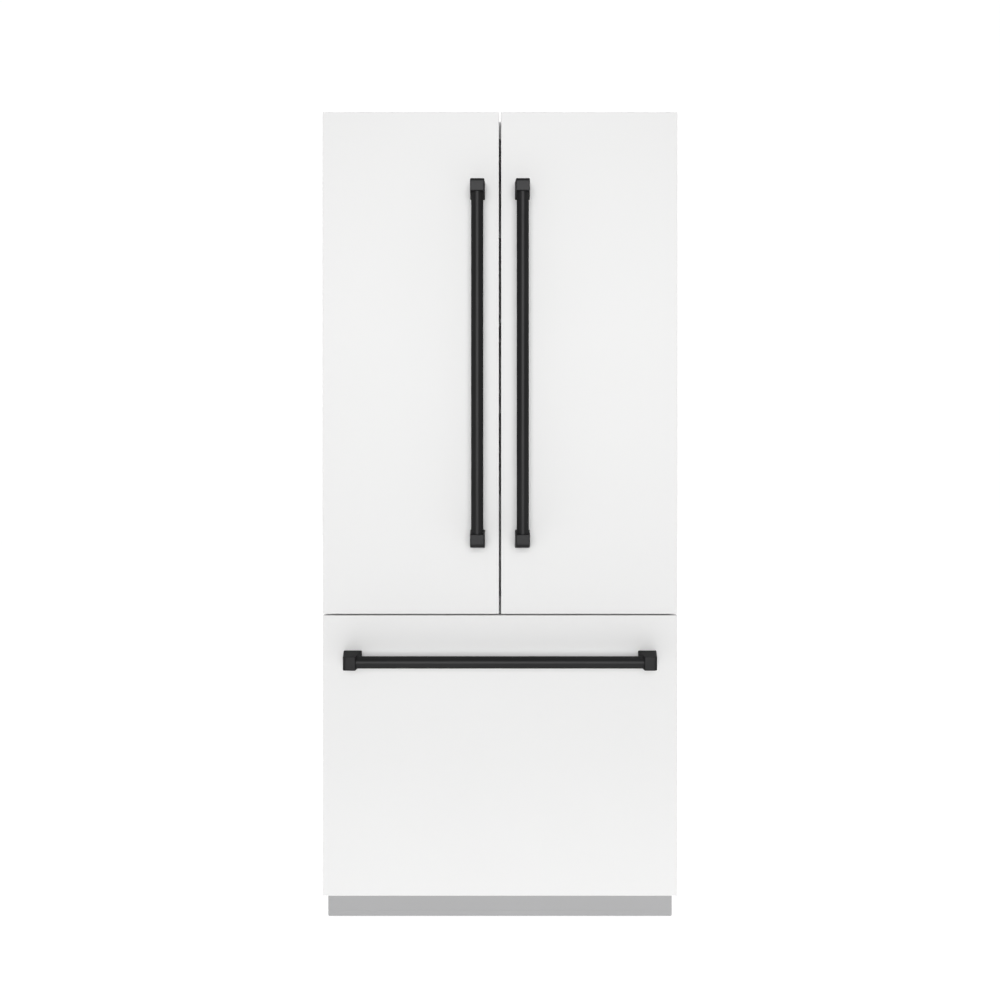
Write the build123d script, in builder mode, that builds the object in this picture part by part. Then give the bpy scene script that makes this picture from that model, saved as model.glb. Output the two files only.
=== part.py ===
from build123d import *
import os

# French door refrigerator with a bottom freezer drawer.
# +X right, +Y to the wall, +Z up. Origin: bottom centre of the overall box.
# All sizes in millimetres.

os.makedirs("parts", exist_ok=True)

# ---- driving dimensions -------------------------------------------------
overall_width = 908.0  # across the two door panels
overall_height = 2095.0  # floor to the top of the door panels
overall_depth = 686.0  # wall to the front of the handles
handle_reach = 76.0  # handle front to the panel face
panel_thickness = 20.0
panel_edge = 1.0  # chamfer round the front of each panel
door_depth = 63.0  # panel face to the cabinet face
base_height = 88.0  # floor to the bottom of the drawer panel
drawer_height = 718.5
row_gap = 3.5  # between the doors and the drawer
door_gap = 5.5  # between the two doors
case_inset = 2.0  # cabinet side inside the panel edge
case_drop = 6.0  # cabinet top below the panel tops
rear_gap = 20.0  # cabinet back to the wall
side_insulation = 50.0
freezer_insulation = 60.0
roof_insulation = 44.0
floor_insulation = 45.0
back_insulation = 45.0
divider_thickness = 70.0
machine_depth = 202.0
machine_height = 242.0
hump_insulation = 50.0
machine_flank = 25.0  # foam left beside the machine compartment

sheet = 1.2  # steel case
frame_sheet = 1.5  # steel face frame
pan_sheet = 2.0
liner_sheet = 2.0
gasket_width = 18.0
gasket_depth = 12.0
seal_gap = 0.3  # gasket to the face frame with the doors shut
clear = 1.0  # between neighbouring moving pieces
slide_gap = 0.5
over = 1.0  # a cut runs this far past the face it opens

hinge_inset = 14.0  # hinge axis in from the panel edge
hinge_setback = 36.0  # hinge axis behind the panel face
pin_radius = 4.0
pin_play = 0.05
pin_length = 24.0
bracket_plate = 5.0

handle_bar_radius = 15.2
handle_foot_width = 38.0  # post across the bar, where it meets the panel
handle_foot_length = 47.0  # post along the bar, where it meets the panel
handle_front_width = 35.0
handle_front_length = 31.5
handle_front_inset = 9.0  # post front in from the foot's outer end
handle_corner = 7.0  # round at the outer front edge of each post
handle_edge = 2.5  # round along the sides of each post
door_handle_top_margin = 178.0  # handle end to its panel's top edge
door_handle_foot_margin = 169.0  # handle end to its panel's bottom edge
drawer_handle_margin = 53.5  # handle end to the side edge of its panel
door_handle_offset = 57.2  # handle axis from the middle of the pair
drawer_handle_drop = 109.0  # handle axis below the drawer panel's top edge

mullion_width = 60.0
mullion_thickness = 20.0

# ---- derived places -----------------------------------------------------
half_width = overall_width / 2
front_y = -overall_depth / 2
wall_y = overall_depth / 2
panel_y = front_y + handle_reach
core_y = panel_y + panel_thickness
case_y = panel_y + door_depth
core_back_y = case_y - gasket_depth
case_back_y = wall_y - rear_gap

case_half = half_width - case_inset
case_top = overall_height - case_drop
drawer_top = base_height + drawer_height
door_bottom = drawer_top + row_gap
divider_bottom = drawer_top + row_gap / 2 - divider_thickness / 2
divider_top = divider_bottom + divider_thickness
door_handle_length = overall_height - door_bottom - door_handle_top_margin - door_handle_foot_margin
door_handle_z = door_bottom + door_handle_foot_margin + door_handle_length / 2
drawer_handle_length = overall_width - 2 * drawer_handle_margin

fridge_half = case_half - side_insulation
fridge_top = case_top - roof_insulation
inner_back_y = case_back_y - back_insulation
freezer_half = case_half - freezer_insulation
freezer_floor = base_height + floor_insulation
machine_y = case_back_y - machine_depth
machine_top = base_height + machine_height
step_z = machine_top + hump_insulation
step_y = machine_y - hump_insulation

foam_front_y = case_y + frame_sheet
foam_half = case_half - sheet
foam_top = case_top - sheet
foam_bottom = base_height + pan_sheet
rear_sheet_y = case_back_y - frame_sheet
machine_half = foam_half - machine_flank

hinge_x = half_width - hinge_inset
hinge_y = panel_y + hinge_setback
SIDES = (-1, 1)


def box(x0, x1, y0, y1, z0, z1, mode=Mode.ADD):
    """A block between two corners, in the part under construction."""
    with Locations(((x0 + x1) / 2, (y0 + y1) / 2, (z0 + z1) / 2)):
        return Box(abs(x1 - x0), abs(y1 - y0), abs(z1 - z0), mode=mode)


def side_box(side, x0, x1, y0, y1, z0, z1, mode=Mode.ADD):
    """A block whose x runs outwards from the middle on one side."""
    return box(side * x0, side * x1, y0, y1, z0, z1, mode)


def rod(centre, radius, length, axis="Z", mode=Mode.ADD):
    """A round bar centred on a point and lying along one axis."""
    turn = {"X": (0, 90, 0), "Y": (90, 0, 0), "Z": (0, 0, 0)}[axis]
    with Locations(Location(centre, turn)):
        return Cylinder(radius, length, mode=mode)


def save(piece, name):
    piece.part.label = name
    export_step(piece.part, "parts/" + name + ".step")


# ---- cabinet shell ------------------------------------------------------
kick_height = base_height - 2.0
kick_setback = 76.0
kick_y = panel_y + kick_setback
kick_depth = 5.0
kick_bottom = 3.0
toe_y = kick_y + kick_depth
kick_lip = 2.0  # edge left round the hollow back of the kick plate
kick_corner = 4.0
pan_bottom = 34.0  # the pan and the side sheets end this far above the floor

with BuildPart() as outer_case:
    with BuildSketch(Plane.YZ.offset(-case_half)):
        with BuildLine():
            Polyline(
                (foam_front_y, base_height),
                (foam_front_y, case_top),
                (rear_sheet_y, case_top),
                (rear_sheet_y, pan_bottom),
                (toe_y, pan_bottom),
                (toe_y, base_height),
                close=True,
            )
        make_face()
    extrude(amount=2 * case_half)
    box(-foam_half, foam_half, case_y, wall_y, 0, foam_top, Mode.SUBTRACT)
save(outer_case, "outer_case")

with BuildPart() as rear_panel:
    box(-case_half, case_half, rear_sheet_y, case_back_y, machine_top, case_top)
save(rear_panel, "rear_panel")

fridge_window = (fridge_half - liner_sheet, divider_top + liner_sheet, fridge_top - liner_sheet)
freezer_window = (freezer_half - liner_sheet, freezer_floor + liner_sheet, divider_bottom - liner_sheet)

with BuildPart() as face_frame:
    box(-case_half, case_half, case_y, foam_front_y, base_height, case_top)
    for half, low, high in (fridge_window, freezer_window):
        box(-half, half, case_y - clear, foam_front_y + clear, low, high, Mode.SUBTRACT)
save(face_frame, "face_frame")

with BuildPart() as fridge_liner:
    box(-fridge_half, fridge_half, foam_front_y, inner_back_y, divider_top, fridge_top)
    box(
        -fridge_window[0], fridge_window[0],
        foam_front_y, inner_back_y - liner_sheet,
        fridge_window[1], fridge_window[2],
        Mode.SUBTRACT,
    )
save(fridge_liner, "fridge_liner")


def freezer_outline(inset, front):
    """Side outline of the freezer space, stepped over the machine compartment."""
    Polyline(
        (front, freezer_floor + inset),
        (front, divider_bottom - inset),
        (inner_back_y - inset, divider_bottom - inset),
        (inner_back_y - inset, step_z + inset),
        (step_y - inset, step_z + inset),
        (step_y - inset, freezer_floor + inset),
        close=True,
    )


with BuildPart() as freezer_liner:
    with BuildSketch(Plane.YZ.offset(-freezer_half)):
        with BuildLine():
            freezer_outline(0, foam_front_y)
        make_face()
    extrude(amount=2 * freezer_half)
    with BuildSketch(Plane.YZ.offset(-freezer_window[0])):
        with BuildLine():
            freezer_outline(liner_sheet, foam_front_y - clear)
        make_face()
    extrude(amount=2 * freezer_window[0], mode=Mode.SUBTRACT)
save(freezer_liner, "freezer_liner")

with BuildPart() as cabinet_foam:
    box(-foam_half, foam_half, foam_front_y, rear_sheet_y, foam_bottom, foam_top)
    box(-fridge_half, fridge_half, case_y, inner_back_y, divider_top, fridge_top, Mode.SUBTRACT)
    with BuildSketch(Plane.YZ.offset(-freezer_half)):
        with BuildLine():
            freezer_outline(0, case_y)
        make_face()
    extrude(amount=2 * freezer_half, mode=Mode.SUBTRACT)
    box(-machine_half, machine_half, machine_y, wall_y, base_height, machine_top, Mode.SUBTRACT)
save(cabinet_foam, "cabinet_foam")

# ---- base: pan, feet, rollers, kick plate --------------------------------
wheel_radius = 25.0
wheel_width = 18.0
axle_radius = 4.0
ear = 4.0
foot_x = case_half - 62.0
front_foot_y = toe_y + 46.0
roller_y = case_back_y - 43.0
foot_boss_radius = 13.0
foot_boss_low = 52.0
foot_stem_radius = 6.0
foot_stem_length = 56.0
foot_pad_radius = 22.0
foot_pad_top_radius = 16.0
foot_pad_height = 10.0
foot_hex_radius = 11.0
foot_hex_height = 10.0
ear_low = 14.0
ear_half = 15.0
wheel_edge = 1.5

with BuildPart() as base_pan:
    box(-foam_half, foam_half, toe_y, rear_sheet_y, pan_bottom, foam_bottom)
    box(
        -foam_half + pan_sheet, foam_half - pan_sheet,
        toe_y + pan_sheet, rear_sheet_y - pan_sheet,
        pan_bottom - over, base_height, Mode.SUBTRACT,
    )
    for side in SIDES:
        boss_z = (foot_boss_low + base_height) / 2
        boss_height = base_height - foot_boss_low
        rod((side * foot_x, front_foot_y, boss_z), foot_boss_radius, boss_height)
        rod((side * foot_x, front_foot_y, boss_z - over), foot_stem_radius + pin_play,
            boss_height + 2 * over, mode=Mode.SUBTRACT)
        for flank in SIDES:
            inner = side * foot_x + flank * (wheel_width / 2 + clear)
            box(inner, inner + flank * ear, roller_y - ear_half, roller_y + ear_half, ear_low, base_height)
        rod((side * foot_x, roller_y, wheel_radius), axle_radius, wheel_width + 2 * (clear + ear), "X")
save(base_pan, "base_pan")

for side, hand in zip(SIDES, ("left", "right")):
    with BuildPart() as rear_roller:
        rod((side * foot_x, roller_y, wheel_radius), wheel_radius, wheel_width, "X")
        chamfer(rear_roller.edges().filter_by(GeomType.CIRCLE), wheel_edge)
        rod((side * foot_x, roller_y, wheel_radius), axle_radius + pin_play, wheel_width + 2 * over, "X",
            Mode.SUBTRACT)
    save(rear_roller, "rear_roller_" + hand)

    with BuildPart() as front_foot:
        with Locations((side * foot_x, front_foot_y, 0)):
            Cone(foot_pad_radius, foot_pad_top_radius, foot_pad_height,
                 align=(Align.CENTER, Align.CENTER, Align.MIN))
        with BuildSketch(Plane.XY.offset(foot_pad_height)):
            with Locations((side * foot_x, front_foot_y)):
                RegularPolygon(foot_hex_radius, 6)
        extrude(amount=foot_hex_height)
        stem_z = foot_pad_height + foot_hex_height + foot_stem_length / 2
        rod((side * foot_x, front_foot_y, stem_z), foot_stem_radius, foot_stem_length)
    save(front_foot, "front_foot_" + hand)

with BuildPart() as kick_plate:
    box(-case_half, case_half, kick_y, toe_y, kick_bottom, kick_height)
    fillet(kick_plate.edges().filter_by(Axis.Y).group_by(Axis.Z)[0], kick_corner)
    box(-case_half + kick_lip, case_half - kick_lip, kick_y + kick_lip, toe_y + over,
        kick_bottom + kick_corner, kick_height - kick_lip, Mode.SUBTRACT)
save(kick_plate, "kick_plate")

# ---- doors --------------------------------------------------------------
core_margin = 4.0  # core inside the panel edge on the outer side
core_free = 8.0  # core free edge from the middle of the pair
core_bottom = door_bottom + 6.0
core_top = case_top - 2.0
drawer_core_bottom = base_height + 6.0
drawer_core_top = drawer_top - 6.5
gasket_outer = hinge_x - 10.0
gasket_free = core_free + 1.0
gasket_face = case_y - seal_gap
door_seal_low = divider_top - 23.25
door_seal_high = core_top - 14.0
freezer_seal_low = base_height + 12.0
freezer_seal_high = divider_bottom + 24.75
bore_depth = pin_length + 2.0
plate = 3.0  # inner door liner
plate_margin = 2.0

crisper_top = divider_top + 242.0
dyke_low = crisper_top + 25.0
dyke_high = fridge_window[2] - 23.0
dyke_width = 10.0
dyke_outer = fridge_window[0] - 6.0
dyke_inner = 44.0
dyke_depth_y = case_y + 54.0
bin_depth_y = case_y + 92.0
bin_height = 110.0
bin_wall = 2.5
bin_count = 3
bin_lift = 20.0  # lowest bin above the foot of the side ribs
bin_pitch = (dyke_high - dyke_low - bin_lift) / bin_count


def gasket_ring(x0, x1, z0, z1):
    """A magnetic seal frame around a door or drawer."""
    box(x0, x1, core_back_y, gasket_face, z0, z1)
    box(
        min(x0, x1) + gasket_width, max(x0, x1) - gasket_width,
        core_back_y - over, gasket_face + over,
        z0 + gasket_width, z1 - gasket_width, Mode.SUBTRACT,
    )


def build_handle(centre_x, centre_z, length, upright):
    """Round bar between two tapered posts. Returns the three solids."""
    half_len = length / 2
    bar_y = front_y + handle_foot_width / 2
    solids = []
    for sign in SIDES:
        with BuildPart() as post:
            for level_y, outer_end, along, across in (
                (panel_y, half_len, handle_foot_length, handle_foot_width),
                (front_y, half_len - handle_front_inset, handle_front_length, handle_front_width),
            ):
                middle = sign * (outer_end - along / 2)
                with BuildSketch(Plane.XZ.offset(-level_y)):
                    if upright:
                        with Locations((centre_x, centre_z + middle)):
                            Rectangle(across, along)
                    else:
                        with Locations((centre_x + middle, centre_z)):
                            Rectangle(along, across)
            loft()
            run = Axis.Z if upright else Axis.X
            front_edges = post.edges().filter_by_position(Axis.Y, front_y - 0.1, front_y + 0.1)
            outer_edge = front_edges.sort_by(run)[-1 if sign > 0 else 0]
            fillet(outer_edge, handle_corner)
            long_edges = post.edges().filter_by(lambda edge: edge.bounding_box().size.Y > handle_reach / 2)
            fillet(long_edges, handle_edge)
        solids.append(post.part)
    span = length - 2 * (handle_front_inset + handle_front_length) + 2 * handle_corner
    with BuildPart() as bar:
        rod((centre_x, bar_y, centre_z), handle_bar_radius, span, "Z" if upright else "X")
    return [solids[0], solids[1], bar.part - solids[0] - solids[1]]


def save_group(solids, name):
    group = Compound(children=list(solids))
    group.label = name
    export_step(group, "parts/" + name + ".step")


for side, hand in zip(SIDES, ("left", "right")):
    with BuildPart() as door_panel:
        side_box(side, door_gap / 2, half_width, panel_y, core_y, door_bottom, overall_height)
        chamfer(door_panel.edges().filter_by_position(Axis.Y, panel_y - 0.1, panel_y + 0.1), panel_edge)
    save(door_panel, hand + "_door_panel")

    with BuildPart() as door_core:
        side_box(side, core_free, half_width - core_margin, core_y, core_back_y, core_bottom, core_top)
        for end_z in (core_bottom + bore_depth / 2, core_top - bore_depth / 2):
            rod((side * hinge_x, hinge_y, end_z), pin_radius + pin_play, bore_depth, mode=Mode.SUBTRACT)
    save(door_core, hand + "_door_core")

    with BuildPart() as door_gasket:
        low_x = gasket_free if side > 0 else -gasket_outer
        high_x = gasket_outer if side > 0 else -gasket_free
        gasket_ring(low_x, high_x, door_seal_low, door_seal_high)
    save(door_gasket, hand + "_door_gasket")

    plate_in = gasket_free + gasket_width + plate_margin
    plate_out = gasket_outer - gasket_width - plate_margin
    with BuildPart() as door_liner:
        side_box(
            side, plate_in, plate_out, core_back_y, core_back_y + plate,
            door_seal_low + gasket_width + plate_margin,
            door_seal_high - gasket_width - plate_margin,
        )
        for rib_in in (dyke_inner, dyke_outer - dyke_width):
            side_box(
                side, rib_in, rib_in + dyke_width, core_back_y + plate, dyke_depth_y,
                dyke_low, dyke_high,
            )
    save(door_liner, hand + "_door_liner")

    with BuildPart() as door_bins:
        bin_in = dyke_inner + dyke_width
        bin_out = dyke_outer - dyke_width
        for index in range(bin_count):
            floor_z = dyke_low + bin_lift + index * bin_pitch
            side_box(
                side, bin_in, bin_out, core_back_y + plate, bin_depth_y,
                floor_z, floor_z + bin_height,
            )
            side_box(
                side, bin_in + bin_wall, bin_out - bin_wall,
                core_back_y + plate + bin_wall, bin_depth_y - bin_wall,
                floor_z + bin_wall, floor_z + bin_height + over, Mode.SUBTRACT,
            )
    save(door_bins, hand + "_door_bins")

    save_group(
        build_handle(side * door_handle_offset, door_handle_z, door_handle_length, True),
        hand + "_door_handle",
    )

# ---- folding mullion on the left door, stored folded -----------------------
mullion_pivot_x = -(mullion_width / 2 - mullion_thickness / 2)
mullion_pivot_y = case_y + 11.0
mullion_low = fridge_window[1] + 23.0
mullion_high = fridge_window[2] - 21.0
mullion_round = mullion_thickness / 2
mullion_far = mullion_pivot_y + mullion_width - mullion_round
mullion_pin_radius = 3.0
mullion_pin_length = 14.0
arm_x = -(dyke_inner - 4.0)
knuckle = 5.0
knuckle_front = mullion_pivot_y - mullion_round + 3.0
knuckle_back = mullion_pivot_y + mullion_round - 2.0

with BuildPart() as flip_mullion:
    with BuildSketch(Plane.XY.offset(mullion_low)):
        with Locations((mullion_pivot_x, mullion_pivot_y)):
            Circle(mullion_round)
        with Locations((mullion_pivot_x, (mullion_pivot_y + mullion_far) / 2)):
            Rectangle(mullion_thickness, mullion_far - mullion_pivot_y)
    extrude(amount=mullion_high - mullion_low)
    for end_z in (mullion_low + mullion_pin_length / 2, mullion_high - mullion_pin_length / 2):
        rod((mullion_pivot_x, mullion_pivot_y, end_z), mullion_pin_radius + pin_play,
            mullion_pin_length, mode=Mode.SUBTRACT)
save(flip_mullion, "flip_mullion")

with BuildPart() as mullion_hinges:
    for end_z, into in ((mullion_low, 1), (mullion_high, -1)):
        far_z = end_z - into * (knuckle + slide_gap)
        near_z = end_z - into * slide_gap
        box(arm_x, mullion_pivot_x + mullion_round, knuckle_front, knuckle_back, far_z, near_z)
        box(arm_x, -plate_in - over, core_back_y + plate, knuckle_back, far_z, near_z)
        pin_mid = end_z + into * (mullion_pin_length - slide_gap * 2) / 2 - into * slide_gap / 2
        rod((mullion_pivot_x, mullion_pivot_y, pin_mid), mullion_pin_radius,
            mullion_pin_length - slide_gap)
save(mullion_hinges, "mullion_hinges")

# ---- hinge brackets -------------------------------------------------------
bracket_round = 12.0
arm_in = 6.0
arm_out = 20.0
top_bracket_reach = 80.0
foot_plate = 2.5
foot_half = 25.0
mid_plate_low = drawer_core_top + 3.0
mid_arm_in = 8.0
mid_arm_out = 10.0
collar_radius = 8.0
collar_gap = 0.3
pin_tip_gap = 2.0  # pin end to the bottom of its hole

with BuildPart() as hinge_brackets:
    for side in SIDES:
        for plate_low, back_y, pin_from, pin_to in (
            (case_top, case_y + top_bracket_reach, core_top + pin_tip_gap - pin_length, case_top),
            (mid_plate_low, case_y, mid_plate_low + bracket_plate, core_bottom + pin_length - pin_tip_gap),
        ):
            with BuildSketch(Plane.XY.offset(plate_low)):
                with Locations((side * hinge_x, hinge_y)):
                    Circle(bracket_round)
                arm_low = hinge_x - arm_out if plate_low == case_top else hinge_x - mid_arm_in
                arm_high = hinge_x + arm_in
                with Locations((side * (arm_low + arm_high) / 2, (hinge_y + back_y) / 2)):
                    Rectangle(arm_high - arm_low, back_y - hinge_y)
            extrude(amount=bracket_plate)
            rod((side * hinge_x, hinge_y, (pin_from + pin_to) / 2), pin_radius, pin_to - pin_from)
        collar_top = core_bottom - collar_gap
        collar_low = mid_plate_low + bracket_plate
        rod((side * hinge_x, hinge_y, (collar_low + collar_top) / 2), collar_radius, collar_top - collar_low)
        side_box(
            side, hinge_x - mid_arm_in, hinge_x + mid_arm_out, case_y - foot_plate, case_y,
            mid_plate_low - foot_half, mid_plate_low + foot_half,
        )
save(hinge_brackets, "hinge_brackets")

# ---- freezer drawer ---------------------------------------------------------
with BuildPart() as drawer_panel:
    box(-half_width, half_width, panel_y, core_y, base_height, drawer_top)
    chamfer(drawer_panel.edges().filter_by_position(Axis.Y, panel_y - 0.1, panel_y + 0.1), panel_edge)
save(drawer_panel, "drawer_panel")

with BuildPart() as drawer_core:
    box(
        -half_width + core_margin, half_width - core_margin,
        core_y, core_back_y, drawer_core_bottom, drawer_core_top,
    )
save(drawer_core, "drawer_core")

drawer_seal_half = freezer_window[0] + 33.0
with BuildPart() as drawer_gasket:
    gasket_ring(-drawer_seal_half, drawer_seal_half, freezer_seal_low, freezer_seal_high)
save(drawer_gasket, "drawer_gasket")

with BuildPart() as drawer_liner:
    liner_half = drawer_seal_half - gasket_width - plate_margin
    box(
        -liner_half, liner_half, core_back_y, core_back_y + plate,
        freezer_seal_low + gasket_width + plate_margin,
        freezer_seal_high - gasket_width - plate_margin,
    )
save(drawer_liner, "drawer_liner")

drawer_handle_z = drawer_top - drawer_handle_drop
save_group(build_handle(0, drawer_handle_z, drawer_handle_length, False), "drawer_handle")

# three-member telescopic slides, each member nested in the next
slide_low = step_z + 15.0
slide_tall = 46.0
slide_front = foam_front_y + 7.5
ledge_z = slide_low + slide_tall + 119.0  # fixed rails that carry the upper basket
ledge_width = 14.0
ledge_height = 8.0
slide_back = inner_back_y - 53.0
ledge_back = slide_back - 7.0
middle_back = slide_back - 10.0
inner_back = slide_back - 20.0
bracket_rise = 60.0  # drawer bracket below the slides
bracket_width = 25.0
channel = 2.5
member = 12.0  # one slide member inside the next
outer_in = freezer_window[0] - 16.0
outer_out = freezer_window[0]
middle_in = outer_in - member
middle_out = outer_out - channel - clear
inner_in = middle_in - member
inner_out = middle_out - channel - clear


def channel_member(x_in, x_out, y0, y1, z0, z1):
    """A pair of C channels, open towards the middle of the freezer."""
    for side in SIDES:
        side_box(side, x_in, x_out, y0, y1, z0, z1)
        side_box(
            side, x_in - over, x_out - channel, y0 - over, y1 + over,
            z0 + channel, z1 - channel, Mode.SUBTRACT,
        )


step_in = channel + clear
middle_low = slide_low + step_in
middle_high = slide_low + slide_tall - step_in
inner_low = middle_low + step_in
inner_high = middle_high - step_in

with BuildPart() as freezer_rails:
    channel_member(outer_in, outer_out, slide_front, slide_back, slide_low, slide_low + slide_tall)
    for side in SIDES:
        side_box(side, outer_out - ledge_width, outer_out, slide_front, ledge_back,
                 ledge_z, ledge_z + ledge_height)
save(freezer_rails, "freezer_rails")

with BuildPart() as slide_middles:
    channel_member(middle_in, middle_out, slide_front, middle_back, middle_low, middle_high)
save(slide_middles, "slide_middles")

bracket_front = core_back_y + plate
with BuildPart() as slide_inners:
    for side in SIDES:
        side_box(side, inner_in, inner_out, bracket_front, inner_back, inner_low, inner_high)
        side_box(side, inner_in - bracket_width, inner_out, bracket_front, bracket_front + plate,
                 slide_low - bracket_rise, slide_low + slide_tall)
save(slide_inners, "slide_inners")

tub_wall = 3.0
flange_bite = 1.0  # side flange run into the tub's wall
tub_corner = 2.0
lower_half = inner_in - 5.0
lower_floor = freezer_floor + 17.0
lower_top = inner_high + slide_gap
lower_front = bracket_front + plate + 5.0
lower_back = step_y - liner_sheet - 12.0


def tub(x0, x1, y0, y1, z0, z1, wall):
    """An open box with one floor and four walls."""
    box(x0, x1, y0, y1, z0, z1)
    box(x0 + wall, x1 - wall, y0 + wall, y1 - wall, z0 + wall, z1 + over, Mode.SUBTRACT)


with BuildPart() as lower_basket:
    tub(-lower_half, lower_half, lower_front, lower_back, lower_floor, lower_top, tub_wall)
    fillet(lower_basket.edges().filter_by(Axis.Z).group_by(SortBy.LENGTH)[-1], tub_corner)
    for side in SIDES:
        side_box(side, lower_half - flange_bite, middle_in - clear, lower_front, lower_back,
                 lower_top - slide_gap, lower_top + tub_wall - slide_gap)
save(lower_basket, "lower_basket")

upper_half = outer_out - ledge_width - 5.0
upper_floor = slide_low + slide_tall + 39.0
upper_top = upper_floor + 150.0
upper_front = foam_front_y + 8.0
upper_back = inner_back_y - liner_sheet - 51.0
flange_low = ledge_z + ledge_height + slide_gap
with BuildPart() as upper_basket:
    tub(-upper_half, upper_half, upper_front, upper_back, upper_floor, upper_top, tub_wall)
    for side in SIDES:
        side_box(side, upper_half - flange_bite, freezer_window[0] - 2 * clear, upper_front, upper_back,
                 flange_low, flange_low + tub_wall)
save(upper_basket, "upper_basket")

# ---- fresh-food fittings ------------------------------------------------------
shelf_front = case_y + 109.0
shelf_half = fridge_window[0] - 15.0
shelf_thickness = 16.0
glass_thickness = 5.0
glass_sink = 1.0  # glass below the top of its rim
rim = 14.0
ledge = 4.0
hook_drop = 20.0
wall_face = inner_back_y - liner_sheet
track_depth = 12.0
shelf_back = wall_face - track_depth - 19.0
shelf_count = 3
track_in = 250.0
track_width = 12.0
cover_low = crisper_top + 7.0
shelf_pitch = (fridge_window[2] - cover_low) / (shelf_count + 1)
shelf_lows = [cover_low + (index + 1) * shelf_pitch for index in range(shelf_count)]

with BuildPart() as shelf_tracks:
    for side in SIDES:
        side_box(side, track_in, track_in + track_width, wall_face - track_depth, wall_face,
                 cover_low, dyke_high)
save(shelf_tracks, "shelf_tracks")


def shelf_ring(low):
    """Moulded rim that holds one sheet of glass on a ledge."""
    box(-shelf_half, shelf_half, shelf_front, shelf_back, low, low + shelf_thickness)
    box(-shelf_half + rim, shelf_half - rim, shelf_front + rim, shelf_back - rim,
        low - over, low + shelf_thickness + over, Mode.SUBTRACT)
    shelf_glass(low, Mode.SUBTRACT)


def shelf_glass(low, mode=Mode.ADD):
    """One sheet of glass, or the seat for it."""
    glass_top = low + shelf_thickness - glass_sink
    reach = rim - ledge
    box(-shelf_half + reach, shelf_half - reach, shelf_front + reach, shelf_back - reach,
        glass_top - glass_thickness, glass_top, mode)


with BuildPart() as shelf_frames:
    for low in shelf_lows:
        shelf_ring(low)
        for side in SIDES:
            side_box(side, track_in, track_in + track_width, shelf_back, wall_face - track_depth,
                     low - hook_drop, low + shelf_thickness)
save(shelf_frames, "shelf_frames")

with BuildPart() as glass_shelves:
    for low in [cover_low] + shelf_lows:
        shelf_glass(low)
save(glass_shelves, "glass_shelves")

crisper_outer = fridge_window[0] - 8.0
crisper_inner = 36.0
cover_lug = 10.0
post_half = crisper_inner - 6.0  # post under the cover between the two bins
crisper_wall = 2.5
crisper_grip = 14.0
crisper_grip_height = 26.0
with BuildPart() as crisper_cover:
    shelf_ring(cover_low)
    box(-post_half, post_half, shelf_front + cover_lug, shelf_back, fridge_window[1], cover_low)
    for side in SIDES:
        side_box(side, shelf_half, fridge_window[0], shelf_front + 2 * cover_lug, shelf_back,
                 cover_low, cover_low + cover_lug)
save(crisper_cover, "crisper_cover")

crisper_floor = fridge_window[1] + 5.0
for side, hand in zip(SIDES, ("left", "right")):
    with BuildPart() as crisper:
        near, far = sorted((side * crisper_inner, side * crisper_outer))
        tub(near, far, shelf_front, shelf_back, crisper_floor, crisper_top, crisper_wall)
        box(near, far, shelf_front, shelf_front + crisper_grip,
            crisper_top - crisper_grip_height, crisper_top)
    save(crisper, "crisper_" + hand)

duct_half = 90.0
duct_depth = 15.0
duct_wall = 2.0
duct_low = cover_low + 40.0
duct_high = dyke_high - 20.0
vent_width = 120.0
vent_height = 8.0
vent_count = 4
vent_pitch = (duct_high - duct_low) / (vent_count + 0.3)
with BuildPart() as air_duct:
    box(-duct_half, duct_half, wall_face - duct_depth, wall_face, duct_low, duct_high)
    box(-duct_half + duct_wall, duct_half - duct_wall, wall_face - duct_depth + duct_wall,
        wall_face + over, duct_low + duct_wall, duct_high - duct_wall, Mode.SUBTRACT)
    with Locations(Location((0, wall_face - duct_depth, (duct_low + duct_high) / 2), (90, 0, 0))):
        with GridLocations(0, vent_pitch, 1, vent_count):
            Box(vent_width, vent_height, 2 * (duct_wall + over), mode=Mode.SUBTRACT)
save(air_duct, "air_duct")

lens_half = 150.0
lens_front = shelf_front + 60.0
lens_depth = 80.0
lens_drop = 12.0
lens_edge = 3.0

with BuildPart() as ceiling_light:
    box(-lens_half, lens_half, lens_front, lens_front + lens_depth,
        fridge_window[2] - lens_drop, fridge_window[2])
    chamfer(ceiling_light.edges().group_by(Axis.Z)[0], lens_edge)
save(ceiling_light, "ceiling_light")

# ---- evaporator ----------------------------------------------------------------
cover_y = wall_face - 43.0
evap_fan_z = divider_bottom - 85.0
evap_fan_radius = 52.0
evap_half = 250.0
evap_pitch = 20.0
evap_motor = 12.0
evap_motor_radius = 14.0
coil_low = step_z + 25.0
coil_high = evap_fan_z - evap_fan_radius - 25.0
fan_pin_radius = 3.0
fan_pin_length = 12.0
fin = 1.0
fin_tube_radius = 4.0
fin_tube_end = 10.0  # tube past the last fin
fin_rows = 4


def fin_pack(x0, x1, y0, y1, z0, z1, pitch, along_z):
    """Thin aluminium fins threaded on round tubes."""
    count = int((x1 - x0) // pitch)
    for index in range(count + 1):
        fin_x = x0 + index * (x1 - x0 - fin) / count
        box(fin_x, fin_x + fin, y0, y1, z0, z1)
    for index in range(fin_rows):
        share = (index + 0.5) / fin_rows
        tube_y = (y0 + y1) / 2 if along_z else y0 + (y1 - y0) * share
        tube_z = z0 + (z1 - z0) * share if along_z else (z0 + z1) / 2
        rod(((x0 + x1) / 2, tube_y, tube_z), fin_tube_radius, x1 - x0 + 2 * fin_tube_end, "X")


with BuildPart() as evaporator:
    fin_pack(-evap_half, evap_half, cover_y + 10, wall_face - 4, coil_low, coil_high, evap_pitch, True)
save(evaporator, "evaporator")

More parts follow.
